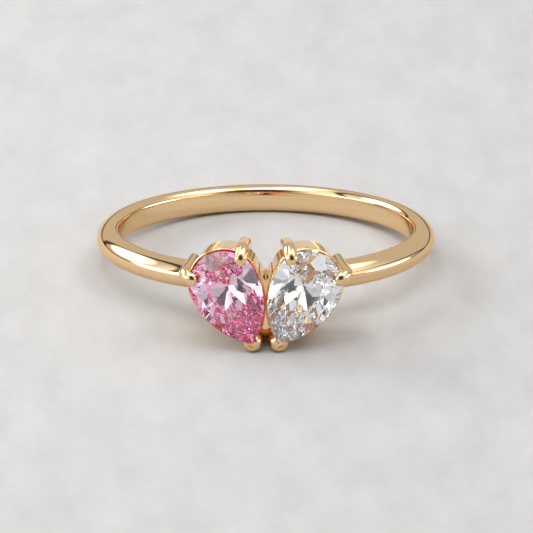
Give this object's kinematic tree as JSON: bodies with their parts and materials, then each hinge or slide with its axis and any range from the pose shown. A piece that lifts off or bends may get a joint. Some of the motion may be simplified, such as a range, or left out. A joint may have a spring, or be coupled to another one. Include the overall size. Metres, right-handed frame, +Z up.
{
  "type": "finger ring",
  "caption": "Slim domed gold finger ring with a pink and a colourless pear-cut stone set side by side, tips together, as a heart.",
  "frame": {"origin": "centre of the ring's outline on the surface it lies on", "axes": "+Z up from the surface; -Y towards the stones, +Y towards the back of the band; X across the finger hole. The ring lies on its side on its two tip prongs and the back of its band, so the finger hole's axis leans 5.5 degrees from +Z towards +Y"},
  "size_m": [0.0196, 0.0239, 0.0062],
  "materials": {
    "gold": "high polish, warm yellow gold",
    "pink_stone": "polished facets",
    "clear_stone": "polished facets"
  },
  "bodies": {
    "root": {"mounting": "gold", "pink_stone": "pink_stone", "clear_stone": "clear_stone"}
  },
  "joints": []
}
